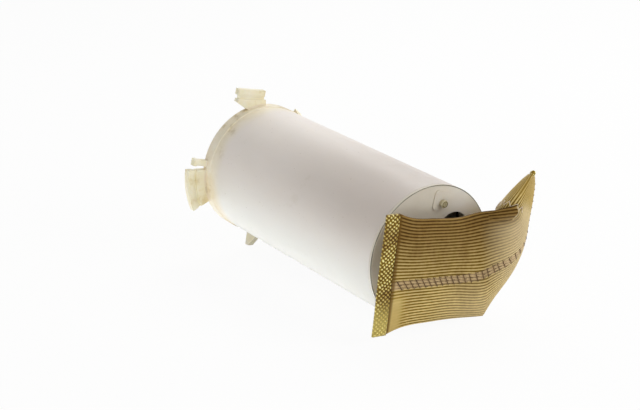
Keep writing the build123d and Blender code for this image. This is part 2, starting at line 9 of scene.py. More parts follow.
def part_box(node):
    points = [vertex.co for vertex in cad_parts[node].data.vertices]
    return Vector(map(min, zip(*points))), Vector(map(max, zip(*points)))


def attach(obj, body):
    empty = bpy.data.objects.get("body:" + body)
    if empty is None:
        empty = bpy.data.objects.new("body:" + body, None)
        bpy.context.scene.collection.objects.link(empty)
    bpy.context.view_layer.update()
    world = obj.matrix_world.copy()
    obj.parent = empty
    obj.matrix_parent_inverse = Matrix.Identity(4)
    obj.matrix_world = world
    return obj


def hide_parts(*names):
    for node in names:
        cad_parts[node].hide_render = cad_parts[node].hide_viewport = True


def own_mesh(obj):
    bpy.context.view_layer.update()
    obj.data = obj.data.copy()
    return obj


# The frame, the finishes and the lights are in metres. Meshes are built in millimetres and scaled by this.
MM = 0.001

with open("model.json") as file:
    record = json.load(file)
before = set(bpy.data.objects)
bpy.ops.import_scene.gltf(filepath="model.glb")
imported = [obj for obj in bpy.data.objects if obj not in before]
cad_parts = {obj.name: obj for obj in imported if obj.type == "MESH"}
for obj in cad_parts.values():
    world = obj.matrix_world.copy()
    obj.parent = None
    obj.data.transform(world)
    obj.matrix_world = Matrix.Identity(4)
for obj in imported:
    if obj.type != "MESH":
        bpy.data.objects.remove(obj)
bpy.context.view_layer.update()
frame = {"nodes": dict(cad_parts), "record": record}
nodes = frame["nodes"]
collection = bpy.context.scene.collection


# Node trees

class Nodes:
    """A node tree, with short calls for the nodes that it needs."""

    def __init__(self, tree):
        self.tree = tree

    def node(self, kind, **settings):
        made = self.tree.nodes.new(kind)
        for key, value in settings.items():
            setattr(made, key, value)
        return made

    def link(self, source, target):
        self.tree.links.new(source, target)

    def math(self, operation, *values, clamp=False):
        made = self.node("ShaderNodeMath", operation=operation, use_clamp=clamp)
        for socket, value in zip(made.inputs, values):
            if isinstance(value, (int, float)):
                socket.default_value = value
            else:
                self.link(value, socket)
        return made.outputs[0]

    def product(self, first, *others):
        for other in others:
            first = self.math("MULTIPLY", first, other)
        return first

    def show_white(self, shader, white, share, output):
        """The white shader, for that share, where it is seen straight, mirrored or through glass."""
        rays = self.node("ShaderNodeLightPath")
        seen = self.math("MAXIMUM", rays.outputs["Is Glossy Ray"], rays.outputs["Is Transmission Ray"])
        seen = self.math("MAXIMUM", rays.outputs["Is Camera Ray"], seen)
        blend = self.node("ShaderNodeMixShader")
        self.link(self.math("MULTIPLY", seen, share), blend.inputs[0])
        self.link(shader.outputs[0], blend.inputs[1])
        self.link(white.outputs[0], blend.inputs[2])
        self.link(blend.outputs[0], self.tree.nodes[output].inputs["Surface"])


class Finish(Nodes):
    """A procedural material. The last arguments set its shader's sockets, as in sheen_weight=0.1."""

    def __init__(self, name, roughness, **sockets):
        self.name = name
        self.material = bpy.data.materials.new(name)
        self.material.use_nodes = True
        super().__init__(self.material.node_tree)
        self.shader = self.tree.nodes["Principled BSDF"]
        self.shader.inputs["Roughness"].default_value = roughness
        for socket, value in sockets.items():
            self.shader.inputs[socket.replace("_", " ").title().replace("Ior", "IOR")].default_value = value
        self.place = self.node("ShaderNodeTexCoord")

    def noise(self, scale, detail=4.0, rough=0.5, stretch=(1, 1, 1)):
        mapping = self.node("ShaderNodeMapping")
        mapping.inputs["Scale"].default_value = stretch
        self.link(self.place.outputs["Object"], mapping.inputs["Vector"])
        made = self.node("ShaderNodeTexNoise")
        made.inputs["Scale"].default_value = scale
        made.inputs["Detail"].default_value = detail
        made.inputs["Roughness"].default_value = rough
        self.link(mapping.outputs["Vector"], made.inputs["Vector"])
        return made.outputs["Fac"]

    def ramp(self, value, *stops):
        made = self.node("ShaderNodeValToRGB")
        elements = made.color_ramp.elements
        while len(elements) < len(stops):
            elements.new(0.5)
        for element, (position, colour) in zip(elements, stops):
            element.position = position
            element.color = colour
        self.link(value, made.inputs["Fac"])
        return made.outputs["Color"]

    def fade(self, value, start, end, low=0.0, high=1.0):
        """From low to high, softly, while the value goes from start to end."""
        made = self.node("ShaderNodeMapRange", interpolation_type="SMOOTHSTEP")
        for index, number in ((1, start), (2, end), (3, low), (4, high)):
            made.inputs[index].default_value = number
        self.link(value, made.inputs[0])
        return made.outputs[0]

    def mix(self, factor, first, second, blend="MIX"):
        made = self.node("ShaderNodeMix", data_type="RGBA", blend_type=blend)
        for socket, value in ((made.inputs[0], factor), (made.inputs[6], first), (made.inputs[7], second)):
            if isinstance(value, (int, float, tuple)):
                socket.default_value = value
            else:
                self.link(value, socket)
        return made.outputs[2]

    def darken(self, factor, colour, tint):
        """The colour, multiplied by the tint where the factor is 1."""
        return self.mix(factor, colour, self.mix(1.0, colour, tint, "MULTIPLY"))

    def split(self, kind):
        """The numbers of a place: on the object in metres ("Object") or on the surface's map ("UV")."""
        made = self.node("ShaderNodeSeparateXYZ")
        self.link(self.place.outputs[kind], made.inputs[0])
        return made.outputs

    def colour(self, value):
        if isinstance(value, tuple):
            self.shader.inputs["Base Color"].default_value = value
        else:
            self.link(value, self.shader.inputs["Base Color"])

    def colour_so_far(self):
        return self.shader.inputs["Base Color"].links[0].from_socket

    def rough(self, value):
        self.link(value, self.shader.inputs["Roughness"])

    def bump(self, value, distance, strength=1.0):
        made = self.node("ShaderNodeBump")
        made.inputs["Strength"].default_value = strength
        made.inputs["Distance"].default_value = distance
        self.link(value, made.inputs["Height"])
        self.link(made.outputs["Normal"], self.shader.inputs["Normal"])


# Kinds of finish. Noise scales are per metre, and bump distances are in metres.

def rgb(red, green, blue):
    """A linear colour from display values of 0 to 255."""
    linear = [((c / 255 + 0.055) / 1.055) ** 2.4 if c > 10 else c / 3294 for c in (red, green, blue)]
    return (*linear, 1.0)


def plastic(name, light, dark, roughness, stain=None, scatter=0.15):
    """Moulded plastic: faint flow marks, a soft mottle and fine grain."""
    made = Finish(name, roughness, subsurface_weight=scatter, subsurface_scale=0.004, specular_ior_level=0.35)
    made.shader.inputs["Subsurface Radius"].default_value = (1.0, 0.8, 0.55)
    flow = made.noise(28, detail=5, rough=0.55, stretch=(0.35, 1, 1))
    colour = made.ramp(flow, (0.3, dark), (0.7, light))
    if stain:
        spots = made.fade(made.noise(55, detail=6, rough=0.65), 0.60, 0.78, high=0.4)
        colour = made.mix(spots, colour, stain)
    made.colour(colour)
    made.rough(made.fade(made.noise(120, detail=4), 0.3, 0.7, roughness - 0.06, roughness + 0.08))
    made.bump(made.noise(900, detail=3), distance=0.00004, strength=0.5)
    return made


def metal(name, light, dark, roughness, brushed=(1, 1, 1), scale=400):
    """Metal with tool marks along one direction and slight dulling."""
    made = Finish(name, roughness, metallic=1.0)
    marks = made.noise(scale, detail=6, rough=0.6, stretch=brushed)
    made.colour(made.ramp(marks, (0.25, dark), (0.75, light)))
    made.rough(made.fade(made.noise(60, detail=5), 0.3, 0.7, roughness - 0.07, roughness + 0.12))
    made.bump(marks, distance=0.00003, strength=0.4)
    return made


def mottled(name, dark, light, roughness, specular, mottle, grain):
    """A dull finish. The mottle is a noise's scale and detail, the grain also has its depth and strength."""
    made = Finish(name, roughness, specular_ior_level=specular)
    made.colour(made.ramp(made.noise(*mottle), (0.3, dark), (0.7, light)))
    scale, detail, depth, strength = grain
    made.bump(made.noise(scale, detail), depth, strength)
    return made


# Reservoir and base

def reservoir_plastic():
    """White plastic, yellowed at the mouth, with painted floor light making it cooler below, painted shade
    over the pump behind the wall, and a few dark specks.
    """
    yellow_from, yellow_to = 0.024, 0.009
    collar_radius, lug_radius = 0.0475, 0.0485
    floor_light_from, floor_light_to = 0.025, -0.02
    pump_from, pump_to = 0.04, 0.19
    pump_shade_z_from, pump_shade_z_to = 0.0, 0.035

    made = plastic("reservoir_plastic", rgb(242, 234, 227), rgb(234, 226, 218), 0.36, rgb(212, 202, 184))
    along, y, z = made.split("Object")
    # Painted floor light: the lower part paler and cooler, as if lit from the floor
    colour = made.mix(made.fade(z, floor_light_from, floor_light_to), made.colour_so_far(), rgb(237, 237, 232))
    # Painted shade: darker over the upper part, where the pump stands behind the translucent wall
    painted_pump_shade = made.product(made.fade(along, pump_from, pump_to), made.fade(z, pump_shade_z_from, pump_shade_z_to))
    colour = made.darken(painted_pump_shade, colour, rgb(226, 223, 221))
    specks = made.fade(made.noise(750, detail=2), 0.735, 0.765)
    colour = made.mix(made.product(specks, 0.5), colour, rgb(150, 134, 112))

    from_axis = made.math("SQRT", made.math("ADD", made.product(y, y), made.product(z, z)))
    lugs = made.ramp(made.noise(90, detail=5, rough=0.6),
                     (0.3, rgb(226, 211, 166)), (0.45, rgb(246, 238, 208)), (0.75, rgb(250, 246, 230)))
    collar = made.ramp(made.noise(60, detail=5, rough=0.6),
                       (0.32, rgb(192, 174, 128)), (0.44, rgb(236, 224, 198)), (0.7, rgb(246, 238, 220)))
    yellow = made.mix(made.fade(from_axis, collar_radius, lug_radius), collar, lugs)
    made.colour(made.mix(made.fade(along, yellow_from, yellow_to), colour, yellow))
    return made


def base_plastic():
    """The same plastic, greyer, with painted light along its lower and right sides."""
    painted_light_z_from, painted_light_z_to = 0.012, -0.012
    painted_light_y_from, painted_light_y_to = 0.008, 0.032

    made = plastic("base_plastic", rgb(224, 217, 204), rgb(210, 201, 184), 0.40, rgb(176, 160, 128))
    _, y, z = made.split("Object")
    # Painted light: lighter along the lower side, as if lit from the floor, and along the right side
    painted_light_below = made.fade(z, painted_light_z_from, painted_light_z_to)
    painted_light_right = made.fade(y, painted_light_y_from, painted_light_y_to)
    painted_light = made.math("MAXIMUM", painted_light_below, painted_light_right)
    made.colour(made.mix(painted_light, made.colour_so_far(), rgb(250, 246, 238)))
    return made


# Sock mesh: the numbers that its colours and its shape share.
# The seam's path is given by its distance along the sock in mm and its share of the width from the top edge.

ribs = 36
pressed_edge = 0.66
pressed_blend = 0.08
seam_half = 1.25
seam_path = ((0, 0.590), (27, 0.580), (47, 0.575), (69, 0.530), (82, 0.520), (90, 0.500), (139, 0.500))


def seam_share(distance):
    """How far down the sock's width the seam runs, at a distance along it."""
    return np.interp(distance, *zip(*seam_path))


def seam_row(made, along):
    """The rib that the seam runs over, as a curve in the material."""
    length = seam_path[-1][0]
    line = made.node("ShaderNodeFloatCurve")
    curve = line.mapping.curves[0]
    while len(curve.points) < len(seam_path):
        curve.points.new(0.5, 0.5)
    for point, (distance, share) in zip(curve.points, seam_path):
        point.location = distance / length, share
        point.handle_type = "VECTOR"
    line.mapping.update()
    made.link(made.math("DIVIDE", along, length), line.inputs["Value"])
    return made.product(line.outputs[0], ribs)


def sock_mesh():
    """Tan ribs with painted shade in their grooves, from the surface's own map: along the sock in mm, and
    across it in ribs.
    """
    fibre_pitch = 0.7
    fold_from, fold_to = 112, 80
    weld_from, weld_to = 2.6, 0.8

    made = Finish("sock_mesh", 0.55, sheen_weight=0.06, sheen_roughness=0.4, specular_ior_level=0.10)
    made.shader.inputs["Sheen Tint"].default_value = rgb(240, 215, 160)
    along, across, _ = made.split("UV")

    # Ribs: 0 in a groove and 0.5 on a crest, rubbed unevenly, and no grooves where the sock is pressed flat
    ridge = made.math("PINGPONG", across, 0.5)
    ridge = made.math("MULTIPLY_ADD", made.noise(420, detail=3), 0.22, made.math("SUBTRACT", ridge, 0.11))
    pressed = made.product(made.fade(along, 13, 5),
                           made.fade(across, ribs * pressed_edge, ribs * (pressed_edge + pressed_blend)))
    height = made.math("MAXIMUM", ridge, made.product(pressed, 0.4))
    # Painted shade: the ribs' colour darkens into the grooves
    threads = made.ramp(height, (0.03, rgb(112, 86, 24)), (0.14, rgb(148, 119, 46)),
                        (0.27, rgb(206, 180, 108)), (0.45, rgb(238, 215, 150)))

    # Darker towards the top edge up to the fold, partly stain and partly painted shadow of the tube, and
    # stained in patches
    # Painted shadow and stain together: darker towards the top edge
    upper = made.product(made.fade(across, ribs * 0.85, ribs * 0.05), made.fade(along, fold_from, fold_to))
    patches = made.fade(made.noise(34, detail=5, rough=0.6), 0.42, 0.66)
    stain = made.math("ADD", made.product(upper, 0.95), made.product(patches, 0.34), clamp=True)
    colour = made.darken(stain, threads, rgb(162, 144, 119))

    # Paler round the fold, and painted floor light along the lower edge
    fold = made.product(made.fade(along, 62, 92), made.fade(along, 122, 108), made.fade(across, 1.5, 8))
    # Painted floor light: paler towards the lower edge
    low = made.product(made.fade(along, 20, 75), made.fade(across, ribs * 0.45, ribs * 0.95))
    pale = made.math("MAXIMUM", fold, made.product(low, 0.7))
    colour = made.mix(made.product(pale, 0.55), colour, rgb(246, 226, 182))

    # Golden at the lower left corner and at the right end
    left_corner = made.product(made.fade(along, 18, 3), made.fade(across, ribs * 0.5, ribs * 0.9))
    gold = made.math("MAXIMUM", left_corner, made.fade(along, 112, 124))
    colour = made.mix(made.product(gold, 0.5), colour, rgb(188, 156, 78))

    # The seam's field, and the dark line beside the left weld
    off_seam = made.math("ABSOLUTE", made.math("SUBTRACT", across, seam_row(made, along)))
    in_seam = made.fade(off_seam, seam_half + 0.3, seam_half - 0.3)
    colour = made.mix(made.product(in_seam, 0.6), colour, rgb(204, 176, 140))
    weld = made.fade(along, weld_from, weld_to)
    made.colour(made.mix(made.product(weld, 0.8), colour, rgb(104, 74, 26)))

    fibre = made.math("SINE", made.product(along, 2 * pi / fibre_pitch))
    relief = made.math("ADD", made.product(fibre, 0.35), made.noise(1500, detail=3))
    made.bump(relief, distance=0.00010, strength=0.55)
    return made


def band_mesh():
    """Woven gold mesh, from the surface's own map: up the band from 0 to 1, and up each dome from 0 to 1."""
    made = Finish("band_mesh", 0.40, specular_ior_level=0.20)
    up, dome, _ = made.split("UV")
    dome = made.math("ADD", dome, made.math("MULTIPLY_ADD", made.noise(420, detail=3), 0.5, -0.25))
    # Painted shade between the domes and painted highlights on their tops: the colour follows dome height
    colour = made.ramp(dome, (0.0, rgb(110, 84, 14)), (0.3, rgb(168, 141, 48)),
                       (0.62, rgb(232, 208, 108)), (0.9, rgb(255, 250, 184)))
    worn = made.fade(made.noise(60, detail=4), 0.40, 0.66)
    colour = made.darken(worn, colour, rgb(196, 176, 138))
    # Painted floor light: paler yellow towards the band's lower end
    floor_lit_end = made.product(made.fade(up, 0.35, 0.1), 0.5)
    made.colour(made.mix(floor_lit_end, colour, rgb(244, 226, 132)))
    made.bump(made.noise(1200, detail=3), distance=0.00005, strength=0.5)
    return made


# Finishes, named after the frame's material slots, and those of the small pieces that only this scene has

finishes = {made.name: made for made in (
    reservoir_plastic(),
    base_plastic(),
    sock_mesh(),
    band_mesh(),
    plastic("valve_plastic", rgb(198, 188, 156), rgb(170, 158, 122), 0.42),
    plastic("inner_plastic", rgb(228, 224, 214), rgb(214, 208, 196), 0.42),
    plastic("cap_plastic", rgb(44, 45, 47), rgb(28, 29, 31), 0.45, scatter=0.0),
    plastic("impeller_plastic", rgb(96, 72, 52), rgb(74, 54, 38), 0.45, scatter=0.0),
    # The frame is dark plastic, and its darkness also stands in as painted shade for the black hole at the
    # sock's neck
    plastic("frame_plastic", rgb(38, 36, 34), rgb(24, 23, 22), 0.5, scatter=0.0),
    metal("shell_steel", rgb(206, 204, 198), rgb(172, 170, 164), 0.30, brushed=(0.06, 1, 1)),
    metal("cover_aluminium", rgb(198, 199, 200), rgb(160, 161, 163), 0.42),
    metal("bearing_bronze", rgb(176, 128, 78), rgb(140, 96, 54), 0.45),
    metal("thrust_steel", rgb(190, 190, 192), rgb(150, 150, 153), 0.25),
    metal("shaft_steel", rgb(204, 205, 208), rgb(174, 175, 178), 0.18, brushed=(0.1, 1, 1)),
    metal("core_steel", rgb(126, 126, 128), rgb(92, 92, 95), 0.50, brushed=(14, 1, 1), scale=120),
    metal("winding_copper", rgb(206, 122, 72), rgb(142, 72, 38), 0.35, brushed=(8, 1, 1), scale=160),
    metal("commutator_copper", rgb(212, 140, 96), rgb(168, 98, 60), 0.28),
    metal("spring_steel", rgb(188, 189, 192), rgb(142, 143, 147), 0.28),
    metal("terminal_brass", rgb(214, 206, 190), rgb(176, 166, 142), 0.30),
    mottled("isolator_rubber", rgb(16, 16, 17), rgb(32, 32, 33), 0.75, 0.3, (90, 5), (500, 4, 0.00008, 0.6)),
    mottled("magnet_ferrite", rgb(40, 41, 44), rgb(66, 67, 70), 0.65, 0.4, (240, 6), (600, 4, 0.00006, 0.6)),
    mottled("brush_carbon", rgb(28, 28, 30), rgb(58, 56, 56), 0.7, 0.4, (500, 6), (900, 4, 0.00005, 0.6)),
)}

seam_thread = mottled("seam_thread", rgb(84, 60, 30), rgb(126, 98, 60),
                      0.55, 0.5, (500, 4), (1500, 3, 0.00005, 0.5))
zigzag_thread = mottled("zigzag_thread", rgb(206, 184, 150), rgb(238, 224, 198),
                        0.6, 0.2, (400, 4), (1500, 3, 0.00005, 0.5))
hem_thread = mottled("pleat_hem", rgb(178, 154, 108), rgb(218, 200, 162),
                     0.6, 0.25, (260, 4), (1500, 3, 0.00005, 0.5))
bead_plastic = mottled("joint_bead", rgb(118, 113, 96), rgb(160, 155, 136),
                       0.5, 0.3, (60, 4), (900, 3, 0.00004, 0.5))
ring_plastic = mottled("valve_ring", rgb(96, 88, 54), rgb(128, 118, 78),
                       0.5, 0.3, (300, 3), (1500, 3, 0.00003, 0.5))

for part in frame["record"]["subparts"]:
    slots = nodes[part["node"]].data.materials
    slots.clear()
    slots.append(finishes[part["material_slot"]].material)


# Mesh building

def piece(name, points, faces, finish, body="reservoir", uv=None):
    """A mesh object from points in mm, riding on a body, with an optional (u, v) for each point."""
    mesh = bpy.data.meshes.new(name)
    mesh.from_pydata([tuple(p) for p in np.asarray(points) * MM], [], [list(f) for f in faces])
    mesh.update()
    if uv is not None:
        layer = mesh.uv_layers.new(name="UVMap")
        index = np.zeros(len(mesh.loops), dtype=int)
        mesh.loops.foreach_get("vertex_index", index)
        layer.data.foreach_set("uv", np.asarray(uv, dtype=float)[index].ravel())
    mesh.polygons.foreach_set("use_smooth", [True] * len(mesh.polygons))
    mesh.materials.append(finish.material)
    made = bpy.data.objects.new(name, mesh)
    collection.objects.link(made)
    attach(made, body)
    return made


def grid_faces(rows, columns, closed=False, start=0):
    """Faces of a grid of points, row by row, that meets itself across its columns if closed."""
    faces = []
    for i in range(rows - 1):
        for j in range(columns if closed else columns - 1):
            k = (j + 1) % columns
            faces.append((start + i * columns + j, start + i * columns + k,
                          start + (i + 1) * columns + k, start + (i + 1) * columns + j))
    return faces


def skin_faces(rows, columns, start=0):
    """Faces of a closed grid with a face over each end."""
    faces = grid_faces(rows, columns, True, start)
    faces.append(tuple(range(start + columns - 1, start - 1, -1)))
    faces.append(tuple(range(start + (rows - 1) * columns, start + rows * columns)))
    return faces


def natural_spline(knots, values, at):
    """A natural cubic spline through the values, one column each, read at the given places."""
    knots, values, at = np.asarray(knots, float), np.asarray(values, float), np.asarray(at, float)
    count = len(knots)
    step = np.diff(knots)
    matrix, right = np.eye(count), np.zeros((count, values.shape[1]))
    for i in range(1, count - 1):
        matrix[i, i - 1:i + 2] = step[i - 1], 2 * (step[i - 1] + step[i]), step[i]
        right[i] = 6 * ((values[i + 1] - values[i]) / step[i] - (values[i] - values[i - 1]) / step[i - 1])
    bend = np.linalg.solve(matrix, right)
    i = np.clip(np.searchsorted(knots, at, side="right") - 1, 0, count - 2)
    h, a, b = step[i][:, None], (knots[i + 1] - at)[:, None], (at - knots[i])[:, None]
    curved = (bend[i] * a ** 3 + bend[i + 1] * b ** 3) / (6 * h)
    return curved + (values[i] / h - bend[i] * h / 6) * a + (values[i + 1] / h - bend[i + 1] * h / 6) * b


def unit(vectors):
    return vectors / np.linalg.norm(vectors, axis=-1, keepdims=True)


def grid_normals(grid):
    """Unit normals of a grid of points that meets itself across its columns."""
    down = np.gradient(grid, axis=0)
    side = np.roll(grid, -1, axis=1) - np.roll(grid, 1, axis=1)
    return unit(np.cross(down, side))


def thread_mesh(paths, radius, sides=8):
    """Points and faces of round threads along paths, narrowed and closed at both ends."""
    end_width = 0.35
    askew = np.array([0.31, 0.17, 0.93])
    points, faces = [], []
    for path in paths:
        path = np.asarray(path, float)
        run = unit(np.gradient(path, axis=0))
        first = unit(np.cross(run, askew))
        second = np.cross(run, first)
        faces += skin_faces(len(path), sides, len(points))
        width = np.ones(len(path))
        width[0] = width[-1] = end_width
        for p, a, b, w in zip(path, first, second, width):
            for k in range(sides):
                turn = 2 * pi * k / sides
                points.append(p + radius * w * (a * cos(turn) + b * sin(turn)))
    return points, faces


# The sock: the same sections as the solid, in mm from the base's outer face, with ribs, sag and a corner.
# Each has its top and bottom edge, and how far it swells there to the front and to the back.

face_x = 204.0
sock_sections = [
    ((13.0, -34.0, 39.4), (11.0, -42.3, -40.1), 1.3, 1.3),
    ((13.0, -25.6, 35.0), (11.5, -32.7, -38.0), 3.0, 3.0),
    ((13.0, -9.3, 30.8), (12.5, -13.1, -38.6), 4.5, 4.5),
    ((13.5, 10.7, 27.2), (14.0, 6.6, -40.4), 5.5, 5.5),
    ((14.5, 29.5, 27.3), (15.8, 31.5, -44.1), 8.0, 6.0),
    ((25.6, 36.4, 30.2), (12.1, 47.0, -26.1), 12.0, 10.0),
    ((32.0, 37.9, 35.3), (-5.7, 74.4, -3.1), 10.5, 11.5),
    ((37.2, 41.0, 45.5), (-10.7, 86.2, 16.7), 6.8, 7.3),
    ((47.0, 39.8, 59.4), (-7.1, 88.6, 32.4), 2.4, 2.4),
]
corner_section = 4
corner_sharpness = 7
least_swell = 1.1
samples_per_rib = 8
rows = 170
oval_steps = 600

tops = np.array([s[0] for s in sock_sections]) + (face_x, 0, 0)
bottoms = np.array([s[1] for s in sock_sections]) + (face_x, 0, 0)
swells = np.array([s[2:] for s in sock_sections])
middles = (tops + bottoms) / 2
knots = np.concatenate([[0], np.cumsum(np.linalg.norm(np.diff(middles, axis=0), axis=1))])
sock_length = knots[-1]
along = np.linspace(0, sock_length, rows)
top_line = natural_spline(knots, tops, along)
bottom_line = natural_spline(knots, bottoms, along)
front_line, back_line = np.maximum(natural_spline(knots, swells, along), least_swell).T

# The lower edge again, in two splines that meet at the corner
to_corner, from_corner = slice(None, corner_section + 1), slice(corner_section, None)
corner_line = np.where((along < knots[corner_section])[:, None],
                       natural_spline(knots[to_corner], bottoms[to_corner], along),
                       natural_spline(knots[from_corner], bottoms[from_corner], along))

# Directions on each row: across the sock, along it, and out of its front
across_line = unit(top_line - bottom_line)
run_line = np.gradient((top_line + bottom_line) / 2, axis=0)
run_line = unit(run_line - across_line * np.sum(run_line * across_line, axis=1)[:, None])
face_line = np.cross(run_line, across_line)

columns_per_side = ribs * samples_per_rib
share = np.linspace(0, 1, columns_per_side + 1)
turn = np.linspace(0, pi, oval_steps)


def side_points(row, swell):
    """Half an oval from the top edge to the bottom one, at equal steps along it."""
    width = np.linalg.norm(top_line[row] - bottom_line[row])
    x, y = np.cos(turn) * width / 2, np.sin(turn) * swell
    run = np.concatenate([[0], np.cumsum(np.hypot(np.diff(x), np.diff(y)))])
    at = share * run[-1]
    middle = (top_line[row] + bottom_line[row]) / 2
    across = across_line[row] * np.interp(at, run, x)[:, None]
    return middle + across + face_line[row] * np.interp(at, run, y)[:, None]


# The smooth sock: down its front and up its back, with the corner pulled out.
# Each column has its share of the width from the top edge.

front_side = np.array([side_points(row, front_line[row]) for row in range(rows)])
back_side = np.array([side_points(row, -back_line[row]) for row in range(rows)])
smooth_sock = np.concatenate([front_side, back_side[:, -2:0:-1]], axis=1)
w_loop = np.concatenate([share, share[-2:0:-1]])
columns = len(w_loop)
is_front = np.arange(columns) <= columns_per_side
corner_pull = (w_loop ** corner_sharpness)[None, :, None]
smooth_sock = smooth_sock + (corner_line - bottom_line)[:, None, :] * corner_pull
normals = grid_normals(smooth_sock)
if np.sum(normals * (smooth_sock - smooth_sock.mean(axis=1, keepdims=True)), axis=2).mean() < 0:
    normals = -normals


# Sag and ribs over the smooth sock. Both fade at its ends, and the ribs also where it is pressed flat.
# A rib is sunk by a share of its height under the smooth surface.

sag_seed = 7
sag_waves = 7
sag_size = 46.0
sag_depth = 0.40
usual_width = 75
end_fade = 6
rib_height = 0.42
rib_sunk = 0.6
end_rib_share = 0.25
pressed_from = 12
pressed_over = 7
pressed_share = 0.85


def soft_waves(u, v, count, size):
    """A sum of slow waves over the cloth, the same on every run."""
    rng = np.random.default_rng(sag_seed)
    total = np.zeros(np.broadcast(u, v).shape)
    for _ in range(count):
        a, b, c = rng.uniform(-1, 1, 3)
        total += np.sin((a * u + b * v) / size * 2 * pi + c * pi)
    return total / count ** 0.5


def rib_round(place):
    """How round a rib stands, from 0 in its grooves to 1 on its crest, at a place counted in ribs."""
    return np.sqrt(np.maximum(0, 1 - (2 * (place % 1.0) - 1) ** 2))


swell_share = 1 - (2 * w_loop - 1) ** 2
ends = np.clip(np.minimum(along, sock_length - along) / end_fade, 0, 1)[:, None]
sag = soft_waves(along[:, None], (w_loop * usual_width)[None, :], sag_waves, sag_size)
sag = sag * sag_depth * ends * swell_share[None, :]
pressed = np.clip((pressed_from - along[:, None]) / pressed_over, 0, 1) \
    * np.clip((w_loop[None, :] - pressed_edge) / pressed_blend, 0, 1) * is_front[None, :]
rib_lift = rib_height * (rib_round(w_loop * ribs)[None, :] - rib_sunk)
rib_lift = rib_lift * (end_rib_share + (1 - end_rib_share) * ends) * (1 - pressed_share * pressed)
sock_grid = smooth_sock + normals * (sag + rib_lift)[:, :, None]

sock_uv = np.stack(np.broadcast_arrays(along[:, None], (w_loop * ribs)[None, :]), axis=2)
sock = piece("sock", sock_grid.reshape(-1, 3), skin_faces(rows, columns), finishes["sock_mesh"],
             uv=sock_uv.reshape(-1, 2))
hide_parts("strainer_sock")


# Stitches on the sock. Each goes from side to side and rises in the middle.

stitch_steps = np.linspace(-1, 1, 7)


def on_cloth(distance, w, lift):
    """A point over the sock, at a distance along it and a share of its width, negative on its back."""
    just_before_last = rows - 1.001
    row = np.clip(distance / sock_length * (rows - 1), 0, just_before_last)
    column = w * columns_per_side
    low_row, low_column = int(row), int(np.floor(column))
    f, g = row - low_row, column - low_column
    weights = (
        ((low_row, low_column), (1 - f) * (1 - g)),
        ((low_row + 1, low_column), f * (1 - g)),
        ((low_row, low_column + 1), (1 - f) * g),
        ((low_row + 1, low_column + 1), f * g),
    )
    return sum((smooth_sock[k] + normals[k] * (sag[k] + lift)) * x for k, x in weights)


# Ladder seam along the front: rungs that slant over the joint, each with three short cords to its right.
# The marks give a rung's number and its distance along the sock. Past the fold the rungs lie nearly flush.

rung_marks = ((0, 4.6), (12, 55.0), (16, 74.6), (21, 88.0), (32, 134.0))
rung_count = rung_marks[-1][0] + 1
rung_half = 1.75
rung_radius = 0.31
rung_lift, rung_bow = 0.40, 0.12
lean_at_start, lean_loss, lean_line = 2.5, 1.9, 88.0
flush_from, flush_over, flush_drop = 74.0, 12.0, 0.36
cord_sides = (-0.75, 0.0, 0.7)
cord_share, cord_uneven = 0.46, 0.1
cord_radius, cord_drop, cord_steps = 0.20, 0.06, 5


def on_seam(distance, t, lift):
    """A point over the seam, with t from -1 at a rung's upper end to 1 at its lower one."""
    return on_cloth(distance, seam_share(distance) + rung_half / ribs * t, lift)


rung_centres = np.interp(np.arange(rung_count), *zip(*rung_marks))
rung_pitches = np.gradient(rung_centres)
rungs, cords = [], []
for k, centre in enumerate(rung_centres):
    lean = lean_at_start - lean_loss * min(centre / lean_line, 1)
    lift = rung_lift - flush_drop * np.clip((centre - flush_from) / flush_over, 0, 1)
    rungs.append([on_seam(centre + lean * t, t, lift + rung_bow * (1 - t * t)) for t in stitch_steps])
    for t in cord_sides:
        start = centre + lean * t
        reach = (cord_share + cord_uneven * sin(k * 2.3 + t * 5)) * rung_pitches[k]
        cords.append([on_seam(d, t, lift - cord_drop) for d in np.linspace(start, start + reach, cord_steps)])
points, faces = thread_mesh(rungs, rung_radius)
cord_points, cord_faces = thread_mesh(cords, cord_radius, sides=6)
faces += [tuple(index + len(points) for index in face) for face in cord_faces]
seam = piece("sock_seam", points + cord_points, faces, seam_thread)


# Zigzag of pale thread across the ribs behind the pleat, over the top edge from the back to the front.
# Its legs step across the cloth by shares of its width, and on the front their line runs on along the sock.

zigzag_line = 107.5
zigzag_half = 3.4
zigzag_back, zigzag_front, zigzag_step = -0.27, 0.14, 0.036
zigzag_slant = 0.018
zigzag_shift = 6.0
zigzag_lift, zigzag_bow = 0.30, 0.14
zigzag_radius = 0.34


def zigzag_leg(w, slant):
    line = zigzag_line + zigzag_shift * max(w, 0.0)
    return [on_cloth(line + zigzag_half * t, w + slant * t, zigzag_lift + zigzag_bow * (1 - t * t))
            for t in stitch_steps]


zigzag = [zigzag_leg(w, zigzag_slant * (-1) ** k)
          for k, w in enumerate(np.arange(zigzag_back, zigzag_front, zigzag_step))]
points, faces = thread_mesh(zigzag, zigzag_radius, sides=6)
zigzag_piece = piece("sock_zigzag", points, faces, zigzag_thread)


# Pleat: where the front turns away, its upper ribs end in a lip that stands off the sock.
# Rows run down the lip and points along it, in mm from the base's outer face.

pleat_points = [
    ((18.2, 31.7, 28.1), (30.4, 35.8, 33.8), (37.2, 37.5, 37.2)),
    ((19.3, 30.9, 25.7), (30.4, 36.0, 29.6), (36.3, 40.3, 31.7)),
    ((20.2, 30.4, 22.2), (28.2, 35.7, 24.6), (32.0, 39.3, 25.9)),
]
pleat_ribs = 4.0
pleat_start = 66.0
pleat_length = 28.0
pleat_half = 0.35
pleat_rows, pleat_columns = 41, 44
hem_first_row = 2
hem_lift = 0.25
hem_radius = 0.42


